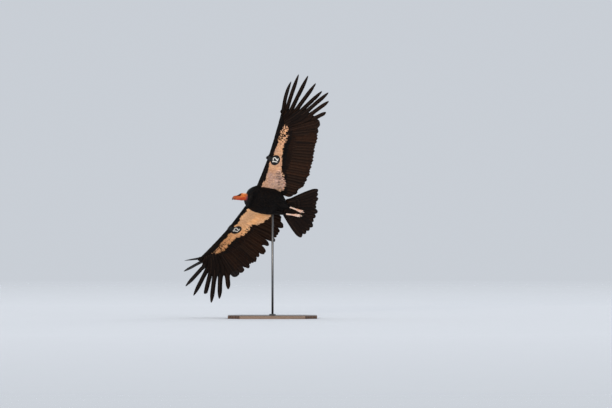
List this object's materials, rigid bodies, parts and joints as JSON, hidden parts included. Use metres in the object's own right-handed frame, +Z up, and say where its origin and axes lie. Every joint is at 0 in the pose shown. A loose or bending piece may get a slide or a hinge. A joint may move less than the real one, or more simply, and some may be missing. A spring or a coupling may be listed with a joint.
{
  "type": "california condor",
  "caption": "Life-size still model of a large black vulture with white wing linings in banked soaring flight, wings spread, held by a rod on a flat base.",
  "frame": {"origin": "middle of the underside of the stand's base, straight under the rod", "axes": "+Z up, +X towards the bird's tail as the camera sees it, -Y towards the camera that sees the underside of the banked wings"},
  "size_m": [1.4836, 1.1858, 2.4658],
  "materials": {
    "body_feathers": "soft black contour feathers with a faint sheen",
    "ruff_feathers": "narrow black ruff feathers with a grey sheen",
    "bare_skin": "bare wrinkled orange skin with red and purple areas",
    "bill": "smooth horn, darker towards the hooked tip",
    "eye": "wet gloss, dark red",
    "wing_feathers": "dark brown-black flight feathers, cream-white lining beneath",
    "tail_feathers": "brown-black tail feathers",
    "leg_skin": "pale pinkish scaled skin",
    "claw": "dark worn horn",
    "wing_tag": "matt black sheet with plain white figures",
    "base_board": "dark stained and waxed board",
    "rod_steel": "blackened steel, satin"
  },
  "bodies": {
    "root": {"torso": "body_feathers", "neck": "ruff_feathers", "head": "bare_skin", "bill_upper": "bill", "bill_lower": "bill", "eye_left": "eye", "eye_right": "eye", "wing_left_upper_arm": "wing_feathers", "wing_left_forearm": "wing_feathers", "wing_left_hand": "wing_feathers", "wing_right_upper_arm": "wing_feathers", "wing_right_forearm": "wing_feathers", "wing_right_hand": "wing_feathers", "tail": "tail_feathers", "thigh_left": "body_feathers", "thigh_right": "body_feathers", "tarsus_left": "leg_skin", "tarsus_right": "leg_skin", "foot_left": "leg_skin", "foot_right": "leg_skin", "claw_left_inner": "claw", "claw_left_middle": "claw", "claw_left_outer": "claw", "claw_left_hind": "claw", "claw_right_inner": "claw", "claw_right_middle": "claw", "claw_right_outer": "claw", "claw_right_hind": "claw", "tag_left": "wing_tag", "tag_right": "wing_tag", "stand_base": "base_board", "stand_rod": "rod_steel", "stand_collar": "rod_steel"}
  },
  "joints": []
}
